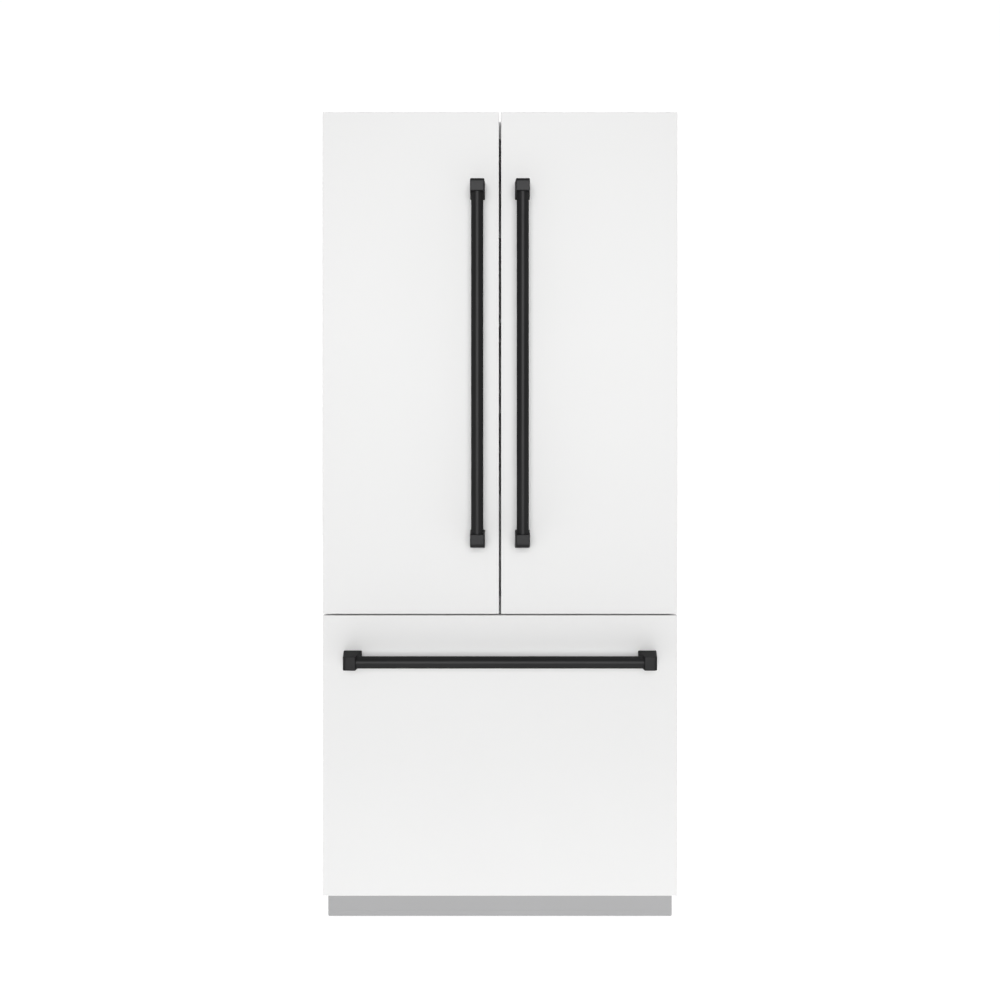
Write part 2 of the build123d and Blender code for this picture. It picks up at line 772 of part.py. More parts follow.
with BuildPart() as evaporator_cover:
    box(-freezer_window[0] + 2 * clear, freezer_window[0] - 2 * clear, cover_y, cover_y + plate,
        step_z + liner_sheet + clear, divider_bottom - liner_sheet - clear)
    rod((0, cover_y, evap_fan_z), evap_fan_radius + plate, 4 * plate, "Y", Mode.SUBTRACT)
    for turn in (0, 60, 120):
        with Locations(Location((0, cover_y + plate / 2, evap_fan_z), (0, turn, 0))):
            Box(2 * (evap_fan_radius + plate + over), plate, plate)
    rod((0, cover_y + evap_motor / 2, evap_fan_z), evap_motor_radius, evap_motor, "Y")
    rod((0, cover_y + evap_motor + 4, evap_fan_z), fan_pin_radius, fan_pin_length, "Y")
save(evaporator_cover, "evaporator_cover")


blade_count = 5
blade_pitch = 28.0  # degrees
blade_sheet = 1.6


def fan_rotor(centre, radius, axis, bore, depth):
    """Hub and flat, pitched blades on a shaft bore."""
    turn = {"X": (0, 90, 0), "Y": (90, 0, 0)}[axis]
    hub = radius * 0.3
    with Locations(Location(centre, turn)):
        Cylinder(hub, depth)
        with PolarLocations(0, blade_count):
            with Locations(Location(((hub + radius) / 2 - over, 0, 0), (blade_pitch, 0, 0))):
                Box(radius - hub + 2 * over, radius * 0.45, blade_sheet)
        Cylinder(bore, depth * 3, mode=Mode.SUBTRACT)


with BuildPart() as evaporator_fan:
    fan_rotor((0, cover_y + evap_motor + 6, evap_fan_z), evap_fan_radius - 4, "Y",
              fan_pin_radius + pin_play, 9)
save(evaporator_fan, "evaporator_fan")

# ---- machine compartment ----------------------------------------------------------
comp_x = -machine_half + 120.0
comp_y = machine_y + machine_depth / 2 + 6
grommet_height = 18.0
comp_low = foam_bottom + grommet_height
comp_radius = 74.0
comp_height = 160.0
comp_foot_sheet = 3.0
comp_foot_x = 100.0
comp_foot_y = 62.0
terminal_depth = 22.0
terminal_half = 25.0

with BuildPart() as compressor:
    with Locations((comp_x, comp_y, comp_low + comp_foot_sheet + comp_height / 2)):
        Cylinder(comp_radius, comp_height)
    fillet(compressor.edges().filter_by(GeomType.CIRCLE).group_by(Axis.Z)[-1], 38)
    fillet(compressor.edges().filter_by(GeomType.CIRCLE).group_by(Axis.Z)[0], 20)
    box(comp_x - comp_foot_x, comp_x + comp_foot_x, comp_y - comp_foot_y, comp_y + comp_foot_y,
        comp_low, comp_low + comp_foot_sheet + slide_gap)
    box(comp_x + comp_radius - 8, comp_x + comp_radius + terminal_depth,
        comp_y - terminal_half, comp_y + terminal_half, comp_low + 40, comp_low + 100)
save(compressor, "compressor")

grommet_radius = 12.0
grommet_x = 82.0
grommet_y = 46.0
with BuildPart() as compressor_grommets:
    for dx in (-grommet_x, grommet_x):
        for dy in (-grommet_y, grommet_y):
            rod((comp_x + dx, comp_y + dy, foam_bottom + grommet_height / 2), grommet_radius,
                grommet_height)
save(compressor_grommets, "compressor_grommets")

fan_x = -40.0
fan_z = foam_bottom + 98.0
shroud_half = 78.0
shroud_depth = 10.0  # half the frame's depth
cond_fan_radius = 62.0
cond_motor = 20.0
with BuildPart() as condenser_fan_frame:
    box(fan_x - shroud_depth, fan_x + shroud_depth, comp_y - shroud_half, comp_y + shroud_half,
        foam_bottom, fan_z + shroud_half)
    rod((fan_x, comp_y, fan_z), cond_fan_radius + 6, 3 * shroud_depth, "X", Mode.SUBTRACT)
    for turn in (0, 90):
        with Locations(Location((fan_x - shroud_depth + 2, comp_y, fan_z), (turn, 0, 0))):
            Box(4, 2 * cond_fan_radius + 20, 8)
    rod((fan_x - 16, comp_y, fan_z), cond_motor, cond_motor, "X")
    rod((fan_x, comp_y, fan_z), fan_pin_radius, fan_pin_length + 2, "X")
save(condenser_fan_frame, "condenser_fan_frame")

with BuildPart() as condenser_fan:
    fan_rotor((fan_x + 2, comp_y, fan_z), cond_fan_radius, "X", fan_pin_radius + pin_play, 12)
save(condenser_fan, "condenser_fan")

coil_x0 = 60.0
coil_x1 = 300.0
coil_pitch = 10.0
coil_half = 75.0
fin_low = foam_bottom + 24.0
fin_high = foam_bottom + 150.0
end_plate = 3.0
with BuildPart() as condenser_coil:
    fin_pack(coil_x0, coil_x1, comp_y - coil_half, comp_y + coil_half, fin_low, fin_high, coil_pitch, False)
    for end_x in (coil_x0, coil_x1 - end_plate):
        box(end_x, end_x + end_plate, comp_y - coil_half - 5, comp_y + coil_half + 5, fin_low, fin_high + 5)
save(condenser_coil, "condenser_coil")

tray_half = 88.0
tray_height = 16.0
tray_wall = 2.5
stand = 10.0  # rib across each end of the tray that carries the coil
with BuildPart() as drip_tray:
    tub(coil_x0 - 10, coil_x1 + 10, comp_y - tray_half, comp_y + tray_half, foam_bottom,
        foam_bottom + tray_height, tray_wall)
    for end_x in (coil_x0 - 4, coil_x1 - 6):
        box(end_x, end_x + stand, comp_y - tray_half + 2, comp_y + tray_half - 2, foam_bottom + 1, fin_low)
save(drip_tray, "drip_tray")

line_radius = 4.0
line_y = machine_y + 12.0
line_start = comp_low + comp_foot_sheet + comp_height
line_high = line_start + 42.0
line_end_x = coil_x0 + 30.0
line_bend = 14.0
with BuildPart() as refrigerant_lines:
    with BuildLine():
        FilletPolyline(
            (comp_x, comp_y, line_start),
            (comp_x, comp_y, line_high),
            (comp_x, line_y, line_high),
            (line_end_x, line_y, line_high),
            (line_end_x, line_y, foam_bottom + 120),
            radius=line_bend,
        )
    with BuildSketch(Plane.XY.offset(line_start)):
        with Locations((comp_x, comp_y)):
            Circle(line_radius)
    sweep()
save(refrigerant_lines, "refrigerant_lines")

box_width = 120.0
box_depth = 42.0
box_corner = 5.0
with BuildPart() as control_box:
    box(comp_x + 130, comp_x + 130 + box_width, line_y + 10, line_y + 10 + box_depth,
        foam_bottom + 4, foam_bottom + 150)
    fillet(control_box.edges().filter_by(Axis.Y), box_corner)
save(control_box, "control_box")

gland_x = case_half - 60.0
gland_z = machine_top - 40.0
gland_radius = 9.0
cord_bore_radius = 4.0
gland_flange = 4.0
louvre_count = 7
louvre_pitch = 22.0
louvre_width = 190.0
louvre_height = 6.0
with BuildPart() as rear_access_cover:
    box(-case_half + 2 * clear, case_half - 2 * clear, rear_sheet_y, case_back_y,
        foam_bottom + clear, machine_top - clear)
    with Locations(Location((0, case_back_y, (foam_bottom + machine_top) / 2), (90, 0, 0))):
        for block_x in (comp_x, coil_x0 + 100):
            with Locations((block_x, 0)):
                with GridLocations(0, louvre_pitch, 1, louvre_count):
                    Box(louvre_width, louvre_height, 20, mode=Mode.SUBTRACT)
    rod((gland_x, case_back_y, gland_z), gland_radius, 20, "Y", Mode.SUBTRACT)
save(rear_access_cover, "rear_access_cover")

with BuildPart() as cord_gland:
    rod((gland_x, case_back_y - 4, gland_z), gland_radius, 20, "Y")
    rod((gland_x, case_back_y + 3, gland_z), gland_radius + gland_flange, 6, "Y")
    rod((gland_x, case_back_y, gland_z), cord_bore_radius, 60, "Y", Mode.SUBTRACT)
save(cord_gland, "cord_gland")

# ---- fixings on the cabinet top ------------------------------------------------------
strap_x = 300.0
strap_half = 50.0
strap_length = 90.0
strap_sheet = 3.0
hole_radius = 3.25
hole_spacing = 60.0
with BuildPart() as anti_tip_brackets:
    for side in SIDES:
        box(side * strap_x - strap_half, side * strap_x + strap_half, wall_y - strap_length, wall_y,
            case_top, case_top + strap_sheet)
        for flank in SIDES:
            rod((side * strap_x + flank * hole_spacing / 2, wall_y - rear_gap / 2, case_top),
                hole_radius, 4 * strap_sheet, mode=Mode.SUBTRACT)
save(anti_tip_brackets, "anti_tip_brackets")

screw_head_radius = 4.5
screw_head = 2.5
low_head = 1.0  # flat heads, level with the panels' tops
with BuildPart() as case_screws:
    for side in SIDES:
        for flank in SIDES:
            rod((side * strap_x + flank * hole_spacing / 2, wall_y - strap_length + 20,
                 case_top + strap_sheet + screw_head / 2), screw_head_radius, screw_head)
        for share in (0.6, 0.9):
            screw_y = hinge_y + share * (top_bracket_reach + case_y - hinge_y)
            rod((side * (hinge_x - (arm_out - arm_in) / 2), screw_y, case_top + bracket_plate + low_head / 2),
                screw_head_radius, low_head)
        for screw_z in (machine_top + 30, (machine_top + case_top) / 2, case_top - 30):
            rod((side * (case_half - 12), case_back_y + screw_head / 2, screw_z),
                screw_head_radius, screw_head, "Y")
        rod((side * (case_half - 14), case_back_y + screw_head / 2, foam_bottom + 20),
            screw_head_radius, screw_head, "Y")
save(case_screws, "case_screws")
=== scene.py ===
import math

import bmesh
import bpy
from mathutils import Matrix, Vector


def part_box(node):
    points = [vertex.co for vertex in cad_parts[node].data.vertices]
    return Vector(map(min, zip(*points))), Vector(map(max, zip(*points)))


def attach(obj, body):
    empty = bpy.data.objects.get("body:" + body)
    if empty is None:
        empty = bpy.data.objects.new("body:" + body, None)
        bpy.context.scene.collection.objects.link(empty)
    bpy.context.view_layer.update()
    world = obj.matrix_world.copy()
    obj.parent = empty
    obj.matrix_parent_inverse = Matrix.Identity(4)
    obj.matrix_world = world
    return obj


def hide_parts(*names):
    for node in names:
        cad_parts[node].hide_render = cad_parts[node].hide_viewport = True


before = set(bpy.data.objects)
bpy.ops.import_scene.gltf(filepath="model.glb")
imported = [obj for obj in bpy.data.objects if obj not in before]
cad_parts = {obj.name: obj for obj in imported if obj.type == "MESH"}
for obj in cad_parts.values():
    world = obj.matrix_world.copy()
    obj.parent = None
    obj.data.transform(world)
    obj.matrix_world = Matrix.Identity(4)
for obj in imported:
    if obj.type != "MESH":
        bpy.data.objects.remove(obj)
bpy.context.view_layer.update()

# ---- Front panels --------------------------------------------------------------------
# Three flat slabs, two doors and a drawer, of sheet steel folded over a stiff board.
# Sprayed white and baked: a satin skin with a very fine orange peel, its edges eased.
PANEL_EDGE = 0.0014
PANEL_WHITE = (0.79, 0.79, 0.787)
PANEL_ROUGHNESS = 0.42


def block(bm, low, high, edge=0.0, segments=3):
    """A box between two corners, its edges eased."""
    made = bmesh.ops.create_cube(bm, size=1.0)["verts"]
    low, high = Vector(low), Vector(high)
    bmesh.ops.scale(bm, vec=high - low, verts=made)
    bmesh.ops.translate(bm, vec=(low + high) / 2, verts=made)
    if edge:
        edges = list({e for v in made for e in v.link_edges})
        bmesh.ops.bevel(bm, geom=edges, offset=edge, offset_type="OFFSET", segments=segments,
                        profile=0.5, affect="EDGES", material=-1, clamp_overlap=True)
    return made


def piece_from(bm, name, material, body, replaced=(), sharp=40.0, even=True):
    """Makes the object, smooth shaded with its sharp folds kept, and fixes it to its body."""
    for face in bm.faces:
        face.smooth = True
    for edge in bm.edges:
        edge.smooth = not (edge.is_manifold and edge.calc_face_angle(0.0) > math.radians(sharp))
    mesh = bpy.data.meshes.new(name)
    bm.to_mesh(mesh)
    bm.free()
    piece = bpy.data.objects.new(name, mesh)
    bpy.context.scene.collection.objects.link(piece)
    piece.data.materials.append(material)
    if even:
        normals = piece.modifiers.new("even_normals", "WEIGHTED_NORMAL")
        normals.keep_sharp = True
    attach(piece, body)
    if replaced:
        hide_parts(*replaced)
    return piece


def coating(name, colour, rough, drift=0.02, peel=420.0, relief=0.00004, metal=0.0, stretch=(1, 1, 1),
            dust=0.04, speck=0.0):
    """A finish whose colour and gloss drift slightly over the piece, under a fine relief."""
    material = bpy.data.materials.new(name)
    material.use_nodes = True
    nodes, links = material.node_tree.nodes, material.node_tree.links
    shader = nodes["Principled BSDF"]
    shader.inputs["Metallic"].default_value = metal
    place = nodes.new("ShaderNodeTexCoord")
    turn = nodes.new("ShaderNodeMapping")
    turn.inputs["Scale"].default_value = stretch
    links.new(place.outputs["Object"], turn.inputs["Vector"])
    broad = nodes.new("ShaderNodeTexNoise")
    broad.inputs["Scale"].default_value = 3.0
    broad.inputs["Detail"].default_value = 5.0
    links.new(place.outputs["Object"], broad.inputs["Vector"])
    fine = nodes.new("ShaderNodeTexNoise")
    fine.inputs["Scale"].default_value = peel
    fine.inputs["Detail"].default_value = 3.0
    links.new(turn.outputs["Vector"], fine.inputs["Vector"])
    tone = nodes.new("ShaderNodeValToRGB")
    tone.color_ramp.elements[0].position = 0.3
    tone.color_ramp.elements[1].position = 0.7
    tone.color_ramp.elements[0].color = (*[c * (1 - drift) for c in colour], 1)
    tone.color_ramp.elements[1].color = (*[min(1, c * (1 + drift)) for c in colour], 1)
    links.new(broad.outputs["Fac"], tone.inputs["Fac"])
    shade = tone.outputs["Color"]
    if speck:
        grain = nodes.new("ShaderNodeMix")
        grain.data_type = "RGBA"
        grain.blend_type = "MULTIPLY"
        ramp = nodes.new("ShaderNodeValToRGB")
        ramp.color_ramp.elements[0].color = (1 - speck, 1 - speck, 1 - speck, 1)
        ramp.color_ramp.elements[1].color = (1, 1, 1, 1)
        links.new(fine.outputs["Fac"], ramp.inputs["Fac"])
        grain.inputs[0].default_value = 1.0
        links.new(shade, grain.inputs[6])
        links.new(ramp.outputs["Color"], grain.inputs[7])
        shade = grain.outputs[2]
    links.new(shade, shader.inputs["Base Color"])
    gloss = nodes.new("ShaderNodeMapRange")
    gloss.inputs["To Min"].default_value = max(0.02, rough - dust)
    gloss.inputs["To Max"].default_value = min(1.0, rough + dust)
    links.new(broad.outputs["Fac"], gloss.inputs["Value"])
    links.new(gloss.outputs["Result"], shader.inputs["Roughness"])
    bump = nodes.new("ShaderNodeBump")
    bump.inputs["Distance"].default_value = relief
    bump.inputs["Strength"].default_value = 0.6
    links.new(fine.outputs["Fac"], bump.inputs["Height"])
    links.new(bump.outputs["Normal"], shader.inputs["Normal"])
    return material


panel_paint = coating("panel_paint", PANEL_WHITE, PANEL_ROUGHNESS, drift=0.006, peel=380.0, relief=0.00003)

for panel, body in (("left_door_panel", "left_door"), ("right_door_panel", "right_door"),
                    ("drawer_panel", "freezer_drawer")):
    bm = bmesh.new()
    block(bm, *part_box(panel), edge=PANEL_EDGE, segments=4)
    piece_from(bm, panel + "_skin", panel_paint, body, (panel,))

# ---- Handles -------------------------------------------------------------------------
# Steel tube held between two cast posts, all powder coated black. Each post stands square
# on the panel, tapers towards the hand and is well rounded at its outer corner.
POST_FOOT_WIDTH = 0.038
POST_FACE_WIDTH = 0.035
POST_FOOT = 0.047
POST_FACE = 0.0315
POST_INSET = 0.009
POST_ROUND = 0.0075
POST_EASE = 0.0024
TUBE_RADIUS = 0.0152
TUBE_SEAT = 0.002
TOUCH = 1e-6
HANDLE_BLACK = (0.031, 0.031, 0.0315)

HANDLE_SHEEN = 0.06
HANDLE_EDGE_TINT = 0.12
handle_coat = coating("handle_coat", HANDLE_BLACK, 0.42, drift=0.10, peel=1500.0, relief=0.00002, metal=0.55,
                      dust=0.05)
coat_inputs = handle_coat.node_tree.nodes["Principled BSDF"].inputs
coat_inputs["Specular IOR Level"].default_value = HANDLE_SHEEN
coat_inputs["Specular Tint"].default_value = (HANDLE_EDGE_TINT, HANDLE_EDGE_TINT, HANDLE_EDGE_TINT, 1)


def handle(name, node, body, upright):
    """Tube and two posts, laid out along X and turned upright for the doors."""
    low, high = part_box(node)
    middle = (low + high) / 2
    half = (high.z - low.z) / 2 if upright else (high.x - low.x) / 2
    foot_y, front_y = high.y - middle.y, low.y - middle.y
    tube_y = front_y + POST_FOOT_WIDTH / 2
    stand = Matrix.Translation(middle) @ (Matrix.Rotation(-math.pi / 2, 4, "Y") if upright else Matrix())
    bm = bmesh.new()
    for sign in (-1, 1):
        near, far = sorted((sign * (half - POST_FOOT), sign * half))
        made = block(bm, (near, front_y, -POST_FOOT_WIDTH / 2), (far, foot_y, POST_FOOT_WIDTH / 2))
        face = [v for v in made if v.co.y < front_y + TOUCH]
        face_x = sign * (half - POST_INSET - POST_FACE / 2)
        to_centre = Matrix.Translation((-(near + far) / 2, 0, 0))
        taper = (POST_FACE / POST_FOOT, 1, POST_FACE_WIDTH / POST_FOOT_WIDTH)
        bmesh.ops.scale(bm, vec=taper, space=to_centre, verts=face)
        bmesh.ops.translate(bm, vec=(face_x - (near + far) / 2, 0, 0), verts=face)
        outer = max(abs(v.co.x) for v in face)
        corner = [e for v in face for e in v.link_edges
                  if all(abs(abs(p.co.x) - outer) < TOUCH and p.co.y < front_y + TOUCH for p in e.verts)]
        bmesh.ops.bevel(bm, geom=list(set(corner)), offset=POST_ROUND, offset_type="OFFSET", segments=8,
                        profile=0.5, affect="EDGES", material=-1)
    bmesh.ops.recalc_face_normals(bm, faces=bm.faces)
    creases = [e for e in bm.edges if e.is_manifold and e.calc_face_angle(0.0) > math.radians(40)
               and not all(p.co.y > foot_y - TOUCH for p in e.verts)]
    bmesh.ops.bevel(bm, geom=creases, offset=POST_EASE, offset_type="OFFSET", segments=4,
                    profile=0.5, affect="EDGES", material=-1, clamp_overlap=True)
    bmesh.ops.transform(bm, matrix=stand, verts=bm.verts)
    piece_from(bm, name + "_posts", handle_coat, body, (node,), sharp=50)

    reach = half - POST_INSET - POST_FACE
    bm = bmesh.new()
    along = Matrix.Translation((0, tube_y, 0)) @ Matrix.Rotation(math.pi / 2, 4, "Y")
    bmesh.ops.create_cone(bm, cap_ends=True, segments=72, radius1=TUBE_RADIUS, radius2=TUBE_RADIUS,
                          depth=2 * (reach + TUBE_SEAT), matrix=along)
    bmesh.ops.transform(bm, matrix=stand, verts=bm.verts)
    piece_from(bm, name + "_tube", handle_coat, body, sharp=50)


handle("left_handle", "left_door_handle", "left_door", True)
handle("right_handle", "right_door_handle", "right_door", True)
handle("drawer_handle_set", "drawer_handle", "freezer_drawer", False)

# ---- Kick plate ----------------------------------------------------------------------
# Folded grey steel, set back under the drawer and clipped to the base pan.
KICK_GREY = (0.375, 0.375, 0.38)
KICK_CORNER = 0.0035
KICK_EDGE = 0.0012
kick_paint = coating("kick_paint", KICK_GREY, 0.48, drift=0.02, peel=600.0, relief=0.00004)
bm = bmesh.new()
low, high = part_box("kick_plate")
block(bm, low, high)
feet = [e for e in bm.edges if all(v.co.z < low.z + 1e-5 for v in e.verts)
        and abs(e.verts[0].co.x - e.verts[1].co.x) < 1e-6]
bmesh.ops.bevel(bm, geom=feet, offset=KICK_CORNER, offset_type="OFFSET", segments=4, profile=0.5,
                affect="EDGES", material=-1, clamp_overlap=True)
front = [e for e in bm.edges if all(v.co.y < low.y + 1e-5 for v in e.verts)]
bmesh.ops.bevel(bm, geom=front, offset=KICK_EDGE, offset_type="OFFSET", segments=3, profile=0.5,
                affect="EDGES", material=-1, clamp_overlap=True)
piece_from(bm, "kick_plate_cover", kick_paint, "cabinet", ("kick_plate",))

# ---- Door cores ----------------------------------------------------------------------
# The insulated body of each door and of the drawer: a dark steel pan closed over foam,
# with a folded seam running round its edge. Its dark tone is partly its own and partly painted
# shade, kept dark so the narrow gap between the doors shows black.
# Painted shade: this tone is partly the core's own colour and partly stands in for the shade in the gap
# between the doors.
CORE_DARK = (0.045, 0.045, 0.047)
SEAM_DEPTH = 0.0008
SEAM_HALF_WIDTH = 0.0006
SEAM_FROM_BACK = 0.007
SEAM_LAP = 0.002
CORE_EDGE = 0.0012
core_paint_gap_shade = coating("core_paint_gap_shade", CORE_DARK, 0.45, drift=0.06, peel=500.0, relief=0.00004)
for core, body in (("left_door_core", "left_door"), ("right_door_core", "right_door"),
                   ("drawer_core", "freezer_drawer")):
    bm = bmesh.new()
    low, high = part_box(core)
    seam_y = high.y - SEAM_FROM_BACK
    block(bm, low, (high.x, seam_y - SEAM_HALF_WIDTH, high.z), edge=CORE_EDGE)
    block(bm, (low.x + SEAM_DEPTH, seam_y - SEAM_LAP, low.z + SEAM_DEPTH),
          (high.x - SEAM_DEPTH, seam_y + SEAM_LAP, high.z - SEAM_DEPTH))
    block(bm, (low.x, seam_y + SEAM_HALF_WIDTH, low.z), high, edge=CORE_EDGE)
    piece_from(bm, core + "_body", core_paint_gap_shade, body, (core,))

# ---- Gaskets -------------------------------------------------------------------------
# Soft magnetic seal round each door: a flat foot pressed in the door, a bellows, and a lip
# with the magnet in it that lies on the cabinet's steel face. Its dark grey is partly the rubber's
# own colour and partly painted shade, kept dark so the gap between the doors shows black.
# Painted shade: this dark grey is partly the seal's own colour and partly stands in for the shade in the gap
# between the doors.
GASKET_GREY = (0.055, 0.055, 0.058)
seal_rubber = coating("seal_rubber", GASKET_GREY, 0.62, drift=0.08, peel=900.0, relief=0.00006)
BELLOWS = ((0.0, 0.0), (0.0, 0.22), (0.0022, 0.34), (0.0022, 0.46), (0.0, 0.58), (0.0008, 0.70),
           (0.0, 0.78), (0.0, 1.0))


def seal_ring(name, node, body, width):
    """Bellows outside, flat lip, bellows inside, closed round a plain rectangle."""
    low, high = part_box(node)
    bm = bmesh.new()
    outline = list(BELLOWS)
    outline += [(width - x, share) for x, share in reversed(BELLOWS)]
    loops = []
    for inset, share in outline:
        y = high.y + (low.y - high.y) * (1 - share)
        x0, x1 = low.x + inset, high.x - inset
        z0, z1 = low.z + inset, high.z - inset
        ring = [bm.verts.new(p) for p in ((x0, y, z0), (x1, y, z0), (x1, y, z1), (x0, y, z1))]
        loops.append([bm.edges.new((ring[i], ring[(i + 1) % 4])) for i in range(4)])
    for first, second in zip(loops, loops[1:] + loops[:1]):
        bmesh.ops.bridge_loops(bm, edges=first + second)
    bmesh.ops.recalc_face_normals(bm, faces=bm.faces)
    return piece_from(bm, name, seal_rubber, body, (node,), sharp=50, even=False)


GASKET_WIDTH = 0.018
seal_ring("left_seal", "left_door_gasket", "left_door", GASKET_WIDTH)
seal_ring("right_seal", "right_door_gasket", "right_door", GASKET_WIDTH)
seal_ring("drawer_seal", "drawer_gasket", "freezer_drawer", GASKET_WIDTH)

# ---- Inner door linings --------------------------------------------------------------
# White sheet plastic drawn over the inside of each door, with two upright ribs that carry
# the bins and three level swages below them. The drawer's lining is plain.
LINING_WHITE = (0.80, 0.81, 0.82)
lining_plastic = coating("lining_plastic", LINING_WHITE, 0.30, drift=0.012, peel=260.0, relief=0.00005)
PLATE = 0.003
PLATE_EDGE = 0.0012
RIB = 0.010
RIB_EDGE = 0.0035
RIB_BELOW_BINS = 0.020
RIB_FROM_TOP = 0.010
OVERLAP = 0.001
SWAGE_HALF = 0.004
SWAGE_RISE = 0.0025
SWAGE_EDGE = 0.002
SWAGE_DROP = 0.005
for hand in ("left", "right"):
    node = hand + "_door_liner"
    low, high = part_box(node)
    bins_low, bins_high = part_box(hand + "_door_bins")
    bm = bmesh.new()
    block(bm, low, (high.x, low.y + PLATE, high.z), edge=PLATE_EDGE)
    rib_low, rib_high = bins_low.z - RIB_BELOW_BINS, high.z - RIB_FROM_TOP
    for edge_x, out in ((bins_low.x, -1), (bins_high.x, 1)):
        x0, x1 = sorted((edge_x, edge_x + out * RIB))
        block(bm, (x0, low.y + PLATE - OVERLAP, rib_low), (x1, high.y, rib_high), edge=RIB_EDGE, segments=4)
    for rise in (0.25, 0.5, 0.75):
        z = rib_low - SWAGE_DROP - (rib_low - low.z) * rise
        block(bm, (bins_low.x, low.y + PLATE - OVERLAP, z - SWAGE_HALF),
              (bins_high.x, low.y + PLATE + SWAGE_RISE, z + SWAGE_HALF), edge=SWAGE_EDGE)
    piece_from(bm, hand + "_door_lining", lining_plastic, hand + "_door", (node,))
bm = bmesh.new()
low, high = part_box("drawer_liner")
block(bm, low, high, edge=PLATE_EDGE)
piece_from(bm, "drawer_lining", lining_plastic, "freezer_drawer", ("drawer_liner",))

# ---- Door bins -----------------------------------------------------------------------
# Clear moulded trays hung between the ribs, three to a door, each with a pale rail
# clipped along its front edge.
BIN_WALL = 0.0025
BIN_CORNER = 0.014
BIN_FOOT = 0.006
BIN_TAPER = 0.98
BIN_RAIL_INSET = 0.012
BIN_RAIL_DEPTH = 0.0045
BIN_RAIL_TOP = 0.002
BIN_RAIL_HEIGHT = 0.020
BIN_RAIL_EDGE = 0.002
CLEAR = (0.86, 0.92, 0.95)


def clear_plastic(name, colour, rough, passes):
    """Moulded clear plastic: mostly see-through, faintly clouded, with soft flow marks."""
    material = coating(name, colour, rough, drift=0.02, peel=40.0, relief=0.00008, dust=0.05)
    shader = material.node_tree.nodes["Principled BSDF"]
    shader.inputs["Transmission Weight"].default_value = passes
    shader.inputs["IOR"].default_value = 1.49
    return material


bin_plastic = clear_plastic("bin_plastic", CLEAR, 0.10, 0.88)
rail_plastic = coating("rail_plastic", (0.70, 0.71, 0.72), 0.28, drift=0.015, peel=300.0, relief=0.00004)


def tub(bm, low, high, corner, foot, taper=1.0, open_axis=2, open_sign=1):
    """The outside skin of a moulded tub: rounded corners and foot, one side left open."""
    low, high = Vector(low), Vector(high)
    made = block(bm, low, high)
    edge_of = high if open_sign > 0 else low
    floor_of = low if open_sign > 0 else high
    faces = list({f for v in made for f in v.link_faces})
    mouth = [f for f in faces if all(abs(v.co[open_axis] - edge_of[open_axis]) < 1e-6 for v in f.verts)]
    bmesh.ops.delete(bm, geom=mouth, context="FACES_ONLY")
    floor_verts = [v for v in made if abs(v.co[open_axis] - floor_of[open_axis]) < 1e-6]
    if taper != 1.0:
        shrink = Vector((taper, taper, taper))
        shrink[open_axis] = 1.0
        centre = Matrix.Translation(-(low + high) / 2)
        bmesh.ops.scale(bm, vec=shrink, space=centre, verts=floor_verts)
    walls = [e for e in {e for v in made for e in v.link_edges}
             if abs(e.verts[0].co[open_axis] - e.verts[1].co[open_axis]) > 1e-4]
    bmesh.ops.bevel(bm, geom=walls, offset=corner, offset_type="OFFSET", segments=6, profile=0.5,
                    affect="EDGES", material=-1, clamp_overlap=True)
    foot_edges = [e for e in bm.edges
                  if all(abs(v.co[open_axis] - floor_of[open_axis]) < 1e-6
                         and low.x - 1e-4 < v.co.x < high.x + 1e-4
                         and low.y - 1e-4 < v.co.y < high.y + 1e-4
                         and low.z - 1e-4 < v.co.z < high.z + 1e-4 for v in e.verts)
                  and len(e.link_faces) == 2 and e.calc_face_angle(0.0) > 0.5]
    bmesh.ops.bevel(bm, geom=foot_edges, offset=foot, offset_type="OFFSET", segments=4, profile=0.5,
                    affect="EDGES", material=-1, clamp_overlap=True)


def give_wall(piece, thickness, rim=0.0006):
    """Even wall inwards from the outside skin, with the rim eased."""
    wall = piece.modifiers.new("wall", "SOLIDIFY")
    wall.thickness = thickness
    wall.offset = -1.0
    wall.use_even_offset = True
    ease = piece.modifiers.new("rim", "BEVEL")
    ease.width = rim
    ease.segments = 2
    ease.limit_method = "ANGLE"
    ease.angle_limit = math.radians(60)


BIN_COUNT = 3
BIN_HEIGHT = 0.110
for hand in ("left", "right"):
    low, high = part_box(hand + "_door_bins")
    pitch = (high.z - low.z - BIN_HEIGHT) / (BIN_COUNT - 1)
    for index in range(BIN_COUNT):
        floor = low.z + index * pitch
        bm = bmesh.new()
        top = floor + BIN_HEIGHT
        tub(bm, (low.x, low.y, floor), (high.x, high.y, top), BIN_CORNER, BIN_FOOT, taper=BIN_TAPER)
        bmesh.ops.recalc_face_normals(bm, faces=bm.faces)
        tray = piece_from(bm, f"{hand}_bin_{index + 1}", bin_plastic, hand + "_door",
                          (hand + "_door_bins",), even=False)
        give_wall(tray, BIN_WALL)
        bm = bmesh.new()
        rail_top = top - BIN_RAIL_TOP
        block(bm, (low.x + BIN_RAIL_INSET, high.y - BIN_RAIL_DEPTH, rail_top - BIN_RAIL_HEIGHT),
              (high.x - BIN_RAIL_INSET, high.y, rail_top), edge=BIN_RAIL_EDGE)
        piece_from(bm, f"{hand}_bin_rail_{index + 1}", rail_plastic, hand + "_door")
